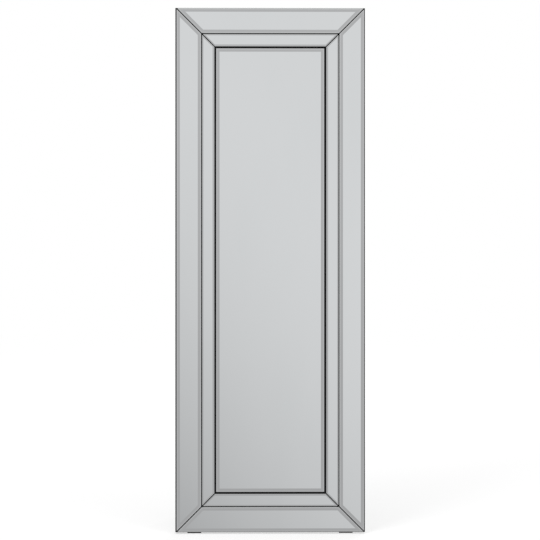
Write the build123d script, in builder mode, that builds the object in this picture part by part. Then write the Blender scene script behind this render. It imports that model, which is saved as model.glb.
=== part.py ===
from build123d import *
import os
from math import atan, cos, radians, sin, tan

os.makedirs("parts", exist_ok=True)

# A free-standing cheval mirror that leans back on a hinged easel strut, in millimetres.
# Z is up from the floor, X runs to the right seen from the front, and the glass faces -Y.
# The origin is on the floor, under the middle of the whole object.

# Height and width of the mirror, and how it stands
mirror_height = 1520.0
mirror_width = 550.0
lean_angle = 10.0
strut_stand_angle = 8.0

# Backing panel and the rails that lift the two rings of glass strips
panel_thickness = 9.0
rail_thickness = 9.0
rebate_depth = 2.0
rail_setback = 1.0
panel_chamfer = 0.8

# Glass strips and centre pane, measured across the front
glass_thickness = 4.0
side_reveal = 2.2
end_reveal = 0.8
outer_strip_width = 72.0
ring_gap = 2.5
inner_strip_width = 36.0
centre_gap = 5.0
mitre_gap = 2.0
outer_tip_cut = 2.3
inner_tip_cut = 1.5

# Bevels on the glass: all slope alike, and each edge ends in a small ground arris
bevel_angle = 9.0
wide_bevel = 10.0
inner_edge_bevel = 5.5
narrow_bevel = 3.8
arris = 0.5

# Foam tape that holds the glass
tape_thickness = 1.0
tape_inset = 5.0
centre_tape_width = 25.0
centre_tape_count = 3
centre_tape_margin = 22.0

# Cross-head countersunk wood screws
screw_radius = 1.75
screw_head_radius = 3.5
screw_tip = 3.0
screw_clearance = 0.1
recess_length = 3.6
recess_width = 0.8
recess_depth = 1.4
panel_screw_length = 14.0
panel_screw_inset = 55.0
panel_screw_corner = 130.0
side_screw_count = 8
end_screw_count = 3

# Hinges between the panel and the strut
hinge_height = 1180.0
hinge_centre = 36.0
hinge_width = 50.0
hinge_knuckle_width = 18.0
hinge_knuckle_radius = 3.0
hinge_gap = 0.3
hinge_leaf_height = 20.0
hinge_leaf_thickness = 1.5
hinge_leaf_corner = 2.0
hinge_notch_clearance = 0.5
hinge_pin_radius = 1.5
hinge_pin_clearance = 0.05
hinge_pin_head_radius = 2.4
hinge_pin_head_thickness = 1.2
hinge_screw_spacing = 30.0
hinge_screw_height = 12.0
hinge_screw_length = 9.5

# Easel strut: two splayed stiles with a top rail and a lower rail between them
strut_thickness = 18.0
strut_top_gap = 4.5
strut_top_half_width = 100.0
strut_foot_half_width = 160.0
stile_width = 36.0
top_rail_height = 70.0
lower_rail_drop = 820.0
lower_rail_height = 50.0
wood_chamfer = 1.2
strut_screw_radius = 2.5
strut_screw_head_radius = 5.0
strut_screw_length = 68.0
strut_screw_spacing = 26.0

# Rubber feet, strut pads and the felt dots behind the folded strut
foot_lift = 1.5
foot_back = 1.0
foot_depth = 7.0
foot_width = 40.0
foot_inset = 55.0
strut_pad_thickness = 3.0
strut_pad_inset = 1.5
felt_radius = 10.0
felt_thickness = 1.5
felt_height = 80.0

# Folding stay: a frame arm and a strut arm with a knee between them
stay_arm_width = 12.0
stay_arm_thickness = 2.0
stay_side_gap = 0.3
stay_folded_span = 39.0
stay_ear_reach = 16.0
stay_ear_radius = 7.0
stay_plate_thickness = 2.0
stay_plate_width = 18.0
stay_plate_length = 36.0
stay_plate_screw_spacing = 22.0
strut_plate_width = 14.0
strut_plate_length = 27.0
strut_plate_screw_margin = 6.5
strut_plate_screw_spacing = 10.5
stay_screw_length = 9.5
rivet_radius = 2.5
rivet_clearance = 0.06
rivet_head_radius = 4.5
rivet_head_thickness = 1.2
knee_washer_thickness = 2.0
knee_washer_radius = 5.0
stop_start = 8.0
stop_length = 6.0
stop_thickness = 2.0
stop_clearance = 0.3

# Heights of the layers above the panel's back face
rail_front = panel_thickness + rail_thickness
rebate_front = rail_front - rebate_depth
outer_glass_back = rail_front + tape_thickness
inner_glass_back = rebate_front + tape_thickness
centre_glass_back = panel_thickness + tape_thickness
glass_front = outer_glass_back + glass_thickness

# Half sizes of the rings of glass and of the rails, from the middle of the panel
half_width = mirror_width / 2
half_height = mirror_height / 2
foot_centre = half_width - foot_inset
outer_ring_x = half_width - side_reveal
outer_ring_y = half_height - end_reveal
inner_ring_x = outer_ring_x - outer_strip_width - ring_gap
inner_ring_y = outer_ring_y - outer_strip_width - ring_gap
centre_x = inner_ring_x - inner_strip_width - centre_gap
centre_y = inner_ring_y - inner_strip_width - centre_gap
rail_inner_x = inner_ring_x - inner_strip_width + rail_setback
rail_inner_y = inner_ring_y - inner_strip_width + rail_setback
rebate_x = inner_ring_x + ring_gap / 2
rebate_y = inner_ring_y + ring_gap / 2
mitre_shift = mitre_gap / 2 / cos(radians(45))
bevel_slope = tan(radians(bevel_angle))

# The hinge axis and the open strut, seen from the side
lean = radians(lean_angle)
stand = radians(strut_stand_angle)
hinge_offset = hinge_knuckle_radius + hinge_gap
hinge_z = foot_lift + hinge_height * cos(lean) - hinge_offset * sin(lean)
hinge_behind = hinge_height * sin(lean) + hinge_offset * cos(lean)
strut_length = hinge_z / cos(stand)
strut_front = hinge_knuckle_radius - hinge_leaf_thickness
strut_back = strut_front - strut_thickness
strut_middle = (strut_front + strut_back) / 2

# The deepest points in front of and behind the panel's foot put the origin in the middle
strip_foot_points = (
    (end_reveal + arris * cos(radians(bevel_angle)),
     glass_front - (wide_bevel - arris * cos(radians(bevel_angle))) * bevel_slope),
    (end_reveal + wide_bevel, glass_front),
)
front_reach = max(rise * cos(lean) - up * sin(lean) for up, rise in strip_foot_points)
rear_corner_drop = (hinge_z - strut_back * sin(stand) - strut_pad_thickness) / cos(stand)
rear_reach = hinge_behind + rear_corner_drop * sin(stand) - strut_back * cos(stand)
board_y = (front_reach - rear_reach) / 2

# Planes of the leaning panel: local Y runs up the panel, local Z out of the front
board = Plane(origin=(0, board_y, foot_lift), x_dir=(1, 0, 0), z_dir=(0, -cos(lean), sin(lean)))
board_middle = Plane(
    origin=board.from_local_coords((0, half_height, 0)), x_dir=board.x_dir, z_dir=board.z_dir
)
panel_back_face = Plane(origin=board_middle.origin, x_dir=(-1, 0, 0), z_dir=-board.z_dir)
front_axis = Axis(board.origin, board.z_dir)

# Planes through the hinge axis: one follows the panel, the other the open strut
hinge_board = Plane(
    origin=board.from_local_coords((0, hinge_height, -hinge_offset)),
    x_dir=board.x_dir,
    z_dir=board.z_dir,
)
strut = Plane(
    origin=hinge_board.origin, x_dir=(1, 0, 0), z_dir=(0, -cos(stand), -sin(stand))
)

# Pivots of the stay, and its arms from the open and the folded span between them
stay_strut_drop = lower_rail_drop - stay_ear_reach
stay_frame_drop = stay_strut_drop - stay_folded_span
frame_pivot = hinge_board.from_local_coords((0, -stay_frame_drop, strut_middle))
strut_pivot = strut.from_local_coords((0, -stay_strut_drop, strut_middle))
stay_direction = strut_pivot - frame_pivot
stay_open_span = stay_direction.length
frame_arm_length = (stay_open_span - stay_folded_span) / 2
strut_arm_length = (stay_open_span + stay_folded_span) / 2
stay = Plane(origin=frame_pivot, x_dir=stay_direction, z_dir=(1, 0, 0))

# The stay's layers along X, outward from the middle of the knee washer
arm_inner = knee_washer_thickness / 2
arm_outer = arm_inner + stay_arm_thickness
ear_inner = arm_outer + stay_side_gap
ear_outer = ear_inner + stay_plate_thickness

# Splay of the strut's stiles
strut_run = strut_length - strut_top_gap
splay = atan((strut_foot_half_width - strut_top_half_width) / strut_run)
stile_slice = stile_width / cos(splay)


def strut_half_width(drop):
    """Half the strut's width at a distance below the hinge axis."""
    share = (drop - strut_top_gap) / strut_run
    return strut_top_half_width + (strut_foot_half_width - strut_top_half_width) * share


def section(plane, x):
    """Plane across X at x, whose local X and Y are the given plane's Y and Z."""
    return Plane(origin=plane.from_local_coords((x, 0, 0)), x_dir=plane.y_dir, z_dir=(1, 0, 0))


def mitred_outline(side, half_x, half_y, width_x, width_y, shift):
    """Corners of one side of a mitred ring: its outer edge, then its inner edge."""
    sign = 1 if side in ("top", "right") else -1
    inner_x = half_x - width_x
    inner_y = half_y - width_y
    if side in ("top", "bottom"):
        return [
            (shift - half_x, sign * half_y),
            (half_x - shift, sign * half_y),
            (inner_x - shift, sign * inner_y),
            (shift - inner_x, sign * inner_y),
        ]
    return [
        (sign * half_x, shift - half_y),
        (sign * half_x, half_y - shift),
        (sign * inner_x, inner_y - shift),
        (sign * inner_x, shift - inner_y),
    ]


def tip_clip(side, half_x, half_y, cut):
    """Width and height of the rectangle that squares off a strip's two sharp tips."""
    back = 2 * (mitre_shift + cut)
    if side in ("top", "bottom"):
        return 2 * half_x - back, 2 * half_y
    return 2 * half_x, 2 * half_y - back


def ground_planes(outline, back, bevel_widths):
    """Planes that grind a bevel and then an arris along each edge of a pane of glass."""
    corners = [Vector(*corner) for corner in outline]
    pane_middle = sum(corners, Vector()) / len(corners)
    front = Vector(0, 0, 1)
    planes = []
    for first, second, width in zip(corners, corners[1:] + corners[:1], bevel_widths):
        edge_middle = (first + second) / 2
        outward = (second - first).cross(front).normalized()
        if outward.dot(edge_middle - pane_middle) < 0:
            outward = -outward
        bevel_normal = outward * sin(radians(bevel_angle)) + front * cos(radians(bevel_angle))
        bevel_line = edge_middle - outward * width + front * (back + glass_thickness)
        arris_line = edge_middle + front * (back + glass_thickness - width * bevel_slope - arris)
        planes.append(Plane(board_middle * Plane(origin=bevel_line, z_dir=bevel_normal)))
        arris_normal = outward + bevel_normal
        planes.append(Plane(board_middle * Plane(origin=arris_line, z_dir=arris_normal)))
    return planes


def screw_set(seats, length, radius, head_radius):
    """Countersunk cross-head screws driven in from seats: outward planes with points."""
    with BuildPart() as screws:
        for seat, points in seats:
            with Locations(seat):
                with Locations(*points):
                    top = (Align.CENTER, Align.CENTER, Align.MAX)
                    Cylinder(radius, length - screw_tip, align=top)
                    Cone(radius, head_radius, head_radius - radius, align=top)
                    Box(recess_length, recess_width, recess_depth, align=top, mode=Mode.SUBTRACT)
                    Box(recess_width, recess_length, recess_depth, align=top, mode=Mode.SUBTRACT)
                with Locations(*[(x, y, screw_tip - length) for x, y in points]):
                    Cone(radius / 4, radius, screw_tip, align=top)
    return screws


def drill_for_screws(seat, points, depth, radius, head_radius):
    """Holes for countersunk screws, from their seat down to a depth."""
    with Locations(seat):
        with Locations(*points):
            CounterSinkHole(
                radius + screw_clearance,
                head_radius + screw_clearance,
                depth=depth + screw_clearance,
                counter_sink_angle=90,
            )


def spread(half_span, count):
    """Evenly spaced places from minus half_span to plus half_span."""
    return [half_span * (2 * step / (count - 1) - 1) for step in range(count)]


# Panel screws, as seen from behind: a column down each side rail, a row along each end rail
panel_screw_x = half_width - panel_screw_inset
panel_screw_y = half_height - panel_screw_inset
column_places = spread(half_height - panel_screw_corner, side_screw_count)
row_places = spread(half_width - panel_screw_corner, end_screw_count)
rail_screw_points = {
    "left": [(panel_screw_x, y) for y in column_places],
    "right": [(-panel_screw_x, y) for y in column_places],
    "top": [(x, panel_screw_y) for x in row_places],
    "bottom": [(x, -panel_screw_y) for x in row_places],
}
panel_screw_points = sum(rail_screw_points.values(), [])

panel_screws = screw_set(
    [(panel_back_face, panel_screw_points)], panel_screw_length, screw_radius, screw_head_radius
)
panel_screws.part.label = "panel_screws"
export_step(panel_screws.part, "parts/panel_screws.step")

# Seats of the hinge screws, as seen from behind, and of the stay's frame plate
hinge_panel_seat = Plane(
    origin=hinge_board.from_local_coords((0, 0, hinge_offset - hinge_leaf_thickness)),
    x_dir=(-1, 0, 0),
    z_dir=-board.z_dir,
)
hinge_screw_points = [
    (side * hinge_centre + turn * hinge_screw_spacing / 2, hinge_screw_height)
    for side in (-1, 1)
    for turn in (-1, 1)
]
hinge_strut_seat = Plane(
    origin=strut.from_local_coords((0, 0, hinge_knuckle_radius)), x_dir=(1, 0, 0), z_dir=strut.z_dir
)
strut_hinge_screw_points = [(x, -y) for x, y in hinge_screw_points]
stay_plate_middle = ear_inner + stay_plate_width / 2
stay_panel_seat = Plane(
    origin=hinge_board.from_local_coords(
        (stay_plate_middle, -stay_frame_drop, hinge_offset - stay_plate_thickness)
    ),
    x_dir=(-1, 0, 0),
    z_dir=-board.z_dir,
)
stay_screw_x = -stay_plate_thickness / 2
stay_screw_points = [
    (stay_screw_x, turn * stay_plate_screw_spacing / 2) for turn in (-1, 1)
]

with BuildPart() as back_panel:
    with BuildSketch(board_middle):
        Rectangle(mirror_width, mirror_height)
    extrude(amount=panel_thickness)
    chamfer(back_panel.faces().sort_by(front_axis)[0].edges(), panel_chamfer)
    drill_for_screws(
        panel_back_face, panel_screw_points, panel_screw_length, screw_radius, screw_head_radius
    )
    drill_for_screws(
        hinge_panel_seat, hinge_screw_points, hinge_screw_length, screw_radius, screw_head_radius
    )
    drill_for_screws(
        stay_panel_seat, stay_screw_points, stay_screw_length, screw_radius, screw_head_radius
    )
back_panel.part.label = "back_panel"
export_step(back_panel.part, "parts/back_panel.step")

# Rails under the rings, mitred at the corners and rebated for the inner ring
for side in ("top", "bottom", "left", "right"):
    rail_outline = mitred_outline(
        side, half_width, half_height, half_width - rail_inner_x, half_height - rail_inner_y, 0
    )
    with BuildPart() as frame_rail:
        with BuildSketch(board_middle.offset(panel_thickness)):
            Polygon(*rail_outline, align=None)
        extrude(amount=rail_thickness)
        with BuildSketch(board_middle.offset(rebate_front)):
            Rectangle(2 * rebate_x, 2 * rebate_y)
        extrude(amount=rebate_depth, mode=Mode.SUBTRACT)
        drill_for_screws(
            panel_back_face,
            rail_screw_points[side],
            panel_screw_length,
            screw_radius,
            screw_head_radius,
        )
    frame_rail.part.label = f"frame_rail_{side}"
    export_step(frame_rail.part, f"parts/frame_rail_{side}.step")

# Wide outer strips, bevelled alike on all four edges
for side in ("top", "bottom", "left", "right"):
    strip_outline = mitred_outline(
        side, outer_ring_x, outer_ring_y, outer_strip_width, outer_strip_width, mitre_shift
    )
    with BuildPart() as outer_strip:
        with BuildSketch(board_middle.offset(outer_glass_back)):
            Polygon(*strip_outline, align=None)
        extrude(amount=glass_thickness)
        for plane in ground_planes(strip_outline, outer_glass_back, [wide_bevel] * 4):
            split(bisect_by=plane, keep=Keep.BOTTOM)
        with BuildSketch(board_middle.offset(outer_glass_back)):
            Rectangle(*tip_clip(side, outer_ring_x, outer_ring_y, outer_tip_cut))
        extrude(amount=glass_thickness, mode=Mode.INTERSECT)
    outer_strip.part.label = f"outer_strip_{side}"
    export_step(outer_strip.part, f"parts/outer_strip_{side}.step")

# Narrow inner strips, with a wider bevel along the edge beside the centre pane
inner_bevels = [narrow_bevel, narrow_bevel, inner_edge_bevel, narrow_bevel]
for side in ("top", "bottom", "left", "right"):
    strip_outline = mitred_outline(
        side, inner_ring_x, inner_ring_y, inner_strip_width, inner_strip_width, mitre_shift
    )
    with BuildPart() as inner_strip:
        with BuildSketch(board_middle.offset(inner_glass_back)):
            Polygon(*strip_outline, align=None)
        extrude(amount=glass_thickness)
        for plane in ground_planes(strip_outline, inner_glass_back, inner_bevels):
            split(bisect_by=plane, keep=Keep.BOTTOM)
        with BuildSketch(board_middle.offset(inner_glass_back)):
            Rectangle(*tip_clip(side, inner_ring_x, inner_ring_y, inner_tip_cut))
        extrude(amount=glass_thickness, mode=Mode.INTERSECT)
    inner_strip.part.label = f"inner_strip_{side}"
    export_step(inner_strip.part, f"parts/inner_strip_{side}.step")

# Centre pane, low between the rings
centre_outline = [
    (-centre_x, -centre_y), (centre_x, -centre_y), (centre_x, centre_y), (-centre_x, centre_y)
]
with BuildPart() as centre_mirror:
    with BuildSketch(board_middle.offset(centre_glass_back)):
        Polygon(*centre_outline, align=None)
    extrude(amount=glass_thickness)
    for plane in ground_planes(centre_outline, centre_glass_back, [wide_bevel] * 4):
        split(bisect_by=plane, keep=Keep.BOTTOM)
centre_mirror.part.label = "centre_mirror"
export_step(centre_mirror.part, "parts/centre_mirror.step")

# Foam tape behind the glass: one band behind each strip, upright bands behind the pane
with BuildPart() as outer_strip_tape:
    with BuildSketch(board_middle.offset(rail_front)):
        for side in ("top", "bottom", "left", "right"):
            outline = mitred_outline(
                side,
                outer_ring_x - tape_inset,
                outer_ring_y - tape_inset,
                outer_strip_width - 2 * tape_inset,
                outer_strip_width - 2 * tape_inset,
                mitre_shift + tape_inset,
            )
            Polygon(*outline, align=None)
    extrude(amount=tape_thickness)
outer_strip_tape.part.label = "outer_strip_tape"
export_step(outer_strip_tape.part, "parts/outer_strip_tape.step")

with BuildPart() as inner_strip_tape:
    with BuildSketch(board_middle.offset(rebate_front)):
        for side in ("top", "bottom", "left", "right"):
            outline = mitred_outline(
                side,
                inner_ring_x - tape_inset,
                inner_ring_y - tape_inset,
                inner_strip_width - 2 * tape_inset,
                inner_strip_width - 2 * tape_inset,
                mitre_shift + tape_inset,
            )
            Polygon(*outline, align=None)
    extrude(amount=tape_thickness)
inner_strip_tape.part.label = "inner_strip_tape"
export_step(inner_strip_tape.part, "parts/inner_strip_tape.step")

centre_tape_span = 2 * (centre_x - centre_tape_margin) - centre_tape_width
with BuildPart() as centre_mirror_tape:
    with BuildSketch(board_middle.offset(panel_thickness)):
        with GridLocations(centre_tape_span / (centre_tape_count - 1), 0, centre_tape_count, 1):
            Rectangle(centre_tape_width, 2 * (centre_y - centre_tape_margin))
    extrude(amount=tape_thickness)
centre_mirror_tape.part.label = "centre_mirror_tape"
export_step(centre_mirror_tape.part, "parts/centre_mirror_tape.step")

# Rubber feet under the back of the panel: flat on the floor, sloped against the panel
for side, name in ((-1, "left"), (1, "right")):
    foot_corners = [
        board.from_local_coords((0, 0, foot_back)),
        board.from_local_coords((0, 0, foot_back + foot_depth)),
    ]
    foot_outline = [(corner.Y, corner.Z) for corner in foot_corners]
    foot_outline += [(corner.Y, 0) for corner in reversed(foot_corners)]
    with BuildPart() as bottom_foot:
        with BuildSketch(Plane.YZ.offset(side * foot_centre)):
            Polygon(*foot_outline, align=None)
        extrude(amount=foot_width / 2, both=True)
    bottom_foot.part.label = f"bottom_foot_{name}"
    export_step(bottom_foot.part, f"parts/bottom_foot_{name}.step")

# Felt dots on the panel, where the folded strut's stiles rest
felt_drop = hinge_height - felt_height
felt_x = strut_half_width(felt_drop) - stile_slice / 2
with BuildPart() as strut_rest_pads:
    with BuildSketch(hinge_board.offset(hinge_offset)):
        with Locations((-felt_x, -felt_drop), (felt_x, -felt_drop)):
            Circle(felt_radius)
    extrude(amount=-felt_thickness)
strut_rest_pads.part.label = "strut_rest_pads"
export_step(strut_rest_pads.part, "parts/strut_rest_pads.step")

# Hinges: a leaf on the panel above the axis, a leaf on the strut below it, and a pin.
# The panel's leaf has the two outer knuckles and the strut's leaf has the middle one.
outer_knuckle_width = (hinge_width - hinge_knuckle_width) / 2 - hinge_gap
middle_knuckles = [(-hinge_knuckle_width / 2, hinge_knuckle_width)]
outer_knuckles = [
    (-hinge_width / 2, outer_knuckle_width),
    (hinge_width / 2 - outer_knuckle_width, outer_knuckle_width),
]
leaf_root = hinge_knuckle_radius + hinge_notch_clearance
leaf_reach = hinge_leaf_height - leaf_root


def hinge_leaf(plane, centre, up, leaf_back, knuckles, seat, screw_points):
    """A hinge leaf on a plane through the axis: the plate is above (up 1) or below it."""
    with BuildPart() as leaf:
        with BuildSketch(plane.offset(leaf_back)):
            with Locations((centre, up * (leaf_root + leaf_reach / 2))):
                Rectangle(hinge_width, leaf_reach)
        extrude(amount=hinge_leaf_thickness)
        far_corners = leaf.edges().filter_by(Axis(plane.origin, plane.z_dir))
        far_axis = Axis(plane.origin, plane.y_dir * up)
        fillet(far_corners.group_by(far_axis)[-1], hinge_leaf_corner)
        for knuckle_start, knuckle_width in knuckles:
            with BuildSketch(section(plane, centre + knuckle_start)):
                Circle(hinge_knuckle_radius)
                with Locations((up * leaf_root / 2, leaf_back + hinge_leaf_thickness / 2)):
                    Rectangle(leaf_root, hinge_leaf_thickness)
            extrude(amount=knuckle_width)
        with BuildSketch(section(plane, centre - hinge_width / 2)):
            Circle(hinge_pin_radius + hinge_pin_clearance)
        extrude(amount=hinge_width, mode=Mode.SUBTRACT)
        drill_for_screws(
            seat, screw_points, hinge_screw_length, screw_radius, screw_head_radius
        )
    return leaf


for side, name in ((-1, "left"), (1, "right")):
    centre = side * hinge_centre
    panel_points = [(x, y) for x, y in hinge_screw_points if x * side < 0]
    hinge_frame_leaf = hinge_leaf(
        hinge_board,
        centre,
        1,
        hinge_offset - hinge_leaf_thickness,
        outer_knuckles,
        hinge_panel_seat,
        panel_points,
    )
    hinge_frame_leaf.part.label = f"hinge_frame_leaf_{name}"
    export_step(hinge_frame_leaf.part, f"parts/hinge_frame_leaf_{name}.step")

    strut_points = [(x, y) for x, y in strut_hinge_screw_points if x * side > 0]
    hinge_strut_leaf = hinge_leaf(
        strut, centre, -1, strut_front, middle_knuckles, hinge_strut_seat, strut_points
    )
    hinge_strut_leaf.part.label = f"hinge_strut_leaf_{name}"
    export_step(hinge_strut_leaf.part, f"parts/hinge_strut_leaf_{name}.step")

    with BuildPart() as hinge_pin:
        with BuildSketch(section(hinge_board, centre - hinge_width / 2)):
            Circle(hinge_pin_radius)
        extrude(amount=hinge_width)
        for head_start in (-hinge_width / 2 - hinge_pin_head_thickness, hinge_width / 2):
            with BuildSketch(section(hinge_board, centre + head_start)):
                Circle(hinge_pin_head_radius)
            extrude(amount=hinge_pin_head_thickness)
    hinge_pin.part.label = f"hinge_pin_{name}"
    export_step(hinge_pin.part, f"parts/hinge_pin_{name}.step")

hinge_frame_screws = screw_set(
    [(hinge_panel_seat, hinge_screw_points)], hinge_screw_length, screw_radius, screw_head_radius
)
hinge_frame_screws.part.label = "hinge_frame_screws"
export_step(hinge_frame_screws.part, "parts/hinge_frame_screws.step")

hinge_strut_screws = screw_set(
    [(hinge_strut_seat, strut_hinge_screw_points)],
    hinge_screw_length,
    screw_radius,
    screw_head_radius,
)
hinge_strut_screws.part.label = "hinge_strut_screws"
export_step(hinge_strut_screws.part, "parts/hinge_strut_screws.step")

# Screws through the stiles into the ends of both rails, seated on the stiles' outer edges
rail_centres = (strut_top_gap + top_rail_height / 2, lower_rail_drop + lower_rail_height / 2)
strut_screw_seats = []
for side in (-1, 1):
    outward = strut.x_dir * (side * cos(splay)) + strut.y_dir * sin(splay)
    for drop in rail_centres:
        place = strut.from_local_coords((side * strut_half_width(drop), -drop, strut_middle))
        seat = Plane(origin=place, x_dir=strut.z_dir, z_dir=outward)
        strut_screw_seats.append(seat)
strut_screw_points = [(0, turn * strut_screw_spacing / 2) for turn in (-1, 1)]
strut_frame_screws = screw_set(
    [(seat, strut_screw_points) for seat in strut_screw_seats],
    strut_screw_length,
    strut_screw_radius,
    strut_screw_head_radius,
)
strut_frame_screws.part.label = "strut_frame_screws"
export_step(strut_frame_screws.part, "parts/strut_frame_screws.step")

# Stiles, cut level just above the floor for their pads
for side, name in ((-1, "left"), (1, "right")):
    stile_end = strut_length + strut_thickness
    stile_outline = [
        (side * strut_half_width(strut_top_gap), -strut_top_gap),
        (side * strut_half_width(stile_end), -stile_end),
        (side * (strut_half_width(stile_end) - stile_slice), -stile_end),
        (side * (strut_half_width(strut_top_gap) - stile_slice), -strut_top_gap),
    ]
    with BuildPart() as strut_stile:
        with BuildSketch(strut.offset(strut_back)):
            Polygon(*stile_outline, align=None)
        extrude(amount=strut_thickness)
        long_edges = strut_stile.edges().filter_by(lambda edge: edge.length > strut_length / 2)
        chamfer(long_edges, wood_chamfer)
        split(bisect_by=Plane.XY.offset(strut_pad_thickness), keep=Keep.TOP)
        for seat in strut_screw_seats:
            drill_for_screws(
                seat,
                strut_screw_points,
                strut_screw_length,
                strut_screw_radius,
                strut_screw_head_radius,
            )
    strut_stile.part.label = f"strut_stile_{name}"
    export_step(strut_stile.part, f"parts/strut_stile_{name}.step")

# Rails between the stiles
strut_plate_start = -ear_inner - strut_plate_screw_margin - stay_plate_thickness
strut_plate_points = [
    (strut_plate_start - step * strut_plate_screw_spacing, 0) for step in (0, 1)
]
rail_top_plane = Plane(
    origin=strut.from_local_coords((0, -lower_rail_drop, strut_middle)),
    x_dir=(1, 0, 0),
    z_dir=strut.y_dir,
)
stay_rail_seat = rail_top_plane.offset(stay_plate_thickness)
top_rail_row = (
    "top", strut_top_gap, top_rail_height, hinge_strut_seat, strut_hinge_screw_points,
    hinge_screw_length,
)
lower_rail_row = (
    "lower", lower_rail_drop, lower_rail_height, stay_rail_seat, strut_plate_points,
    stay_screw_length,
)
for row in (top_rail_row, lower_rail_row):
    rail, drop, height, rail_seat, rail_screw_points, rail_screw_length = row
    rail_outline = [
        (strut_half_width(drop) - stile_slice, -drop),
        (strut_half_width(drop + height) - stile_slice, -drop - height),
        (stile_slice - strut_half_width(drop + height), -drop - height),
        (stile_slice - strut_half_width(drop), -drop),
    ]
    with BuildPart() as strut_rail:
        with BuildSketch(strut.offset(strut_back)):
            Polygon(*rail_outline, align=None)
        extrude(amount=strut_thickness)
        level = strut_rail.edges().filter_by(Axis.X)
        chamfer(level, wood_chamfer)
        for seat in strut_screw_seats:
            drill_for_screws(
                seat,
                strut_screw_points,
                strut_screw_length,
                strut_screw_radius,
                strut_screw_head_radius,
            )
        drill_for_screws(
            rail_seat, rail_screw_points, rail_screw_length, screw_radius, screw_head_radius
        )
    strut_rail.part.label = f"strut_{rail}_rail"
    export_step(strut_rail.part, f"parts/strut_{rail}_rail.step")

# Rubber pads under the stiles
pad_drop = (hinge_z - strut_middle * sin(stand) - strut_pad_thickness) / cos(stand)
pad_middle = strut.from_local_coords((0, -pad_drop, strut_middle))
pad_x = strut_half_width(pad_drop) - stile_slice / 2
pad_depth = strut_thickness / cos(stand) - 2 * strut_pad_inset
for side, name in ((-1, "left"), (1, "right")):
    with BuildPart() as strut_foot_pad:
        with BuildSketch(Plane(origin=(side * pad_x, pad_middle.Y, 0))):
            RectangleRounded(stile_slice - 2 * strut_pad_inset, pad_depth, strut_pad_inset)
        extrude(amount=strut_pad_thickness)
    strut_foot_pad.part.label = f"strut_foot_pad_{name}"
    export_step(strut_foot_pad.part, f"parts/strut_foot_pad_{name}.step")

# Stay brackets: an ear for the pivot on a plate that is screwed to the panel or the rail
with BuildPart() as stay_frame_bracket:
    with BuildSketch(hinge_board.offset(hinge_offset - stay_plate_thickness)):
        with Locations((stay_plate_middle, -stay_frame_drop)):
            RectangleRounded(stay_plate_width, stay_plate_length, hinge_leaf_corner)
    extrude(amount=stay_plate_thickness)
    with BuildSketch(section(hinge_board, ear_inner)):
        with Locations((-stay_frame_drop, strut_middle)):
            Circle(stay_ear_radius)
        with Locations((-stay_frame_drop, (strut_middle + hinge_offset) / 2)):
            Rectangle(2 * stay_ear_radius, hinge_offset - strut_middle)
    extrude(amount=stay_plate_thickness)
    with BuildSketch(section(hinge_board, ear_inner)):
        with Locations((-stay_frame_drop, strut_middle)):
            Circle(rivet_radius + rivet_clearance)
    extrude(amount=stay_plate_thickness, mode=Mode.SUBTRACT)
    drill_for_screws(
        stay_panel_seat, stay_screw_points, stay_screw_length, screw_radius, screw_head_radius
    )
stay_frame_bracket.part.label = "stay_frame_bracket"
export_step(stay_frame_bracket.part, "parts/stay_frame_bracket.step")

stay_frame_screws = screw_set(
    [(stay_panel_seat, stay_screw_points)], stay_screw_length, screw_radius, screw_head_radius
)
stay_frame_screws.part.label = "stay_frame_screws"
export_step(stay_frame_screws.part, "parts/stay_frame_screws.step")

with BuildPart() as stay_strut_bracket:
    with BuildSketch(rail_top_plane):
        with Locations((-ear_inner - strut_plate_length / 2, 0)):
            RectangleRounded(strut_plate_length, strut_plate_width, hinge_leaf_corner)
    extrude(amount=stay_plate_thickness)
    with BuildSketch(section(strut, -ear_outer)):
        with Locations((-stay_strut_drop, strut_middle)):
            Circle(stay_ear_radius)
        with Locations((-stay_strut_drop - stay_ear_reach / 2, strut_middle)):
            Rectangle(stay_ear_reach, strut_plate_width)
    extrude(amount=stay_plate_thickness)
    with BuildSketch(section(strut, -ear_outer)):
        with Locations((-stay_strut_drop, strut_middle)):
            Circle(rivet_radius + rivet_clearance)
    extrude(amount=stay_plate_thickness, mode=Mode.SUBTRACT)
    drill_for_screws(
        stay_rail_seat, strut_plate_points, stay_screw_length, screw_radius, screw_head_radius
    )
stay_strut_bracket.part.label = "stay_strut_bracket"
export_step(stay_strut_bracket.part, "parts/stay_strut_bracket.step")

stay_strut_screws = screw_set(
    [(stay_rail_seat, strut_plate_points)], stay_screw_length, screw_radius, screw_head_radius
)
stay_strut_screws.part.label = "stay_strut_screws"
export_step(stay_strut_screws.part, "parts/stay_strut_screws.step")

# Frame arm, straight out from the panel's pivot past the knee to its stop lip
stop_end = frame_arm_length + stop_start + stop_length
lip_height = stay_arm_width / 2 + stop_clearance
with BuildPart() as stay_frame_arm:
    with BuildSketch(stay.offset(arm_inner)):
        Circle(stay_arm_width / 2)
        with Locations((stop_end / 2, 0)):
            Rectangle(stop_end, stay_arm_width)
        with Locations((stop_end - stop_length / 2, lip_height / 2 + stop_thickness / 2)):
            Rectangle(stop_length, lip_height + stop_thickness)
        with Locations((0, 0), (frame_arm_length, 0)):
            Circle(rivet_radius + rivet_clearance, mode=Mode.SUBTRACT)
    extrude(amount=stay_arm_thickness)
    with BuildSketch(stay.offset(-arm_outer)):
        with Locations((stop_end - stop_length / 2, lip_height + stop_thickness / 2)):
            Rectangle(stop_length, stop_thickness)
    extrude(amount=arm_inner + arm_outer)
stay_frame_arm.part.label = "stay_frame_arm"
export_step(stay_frame_arm.part, "parts/stay_frame_arm.step")

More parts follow.
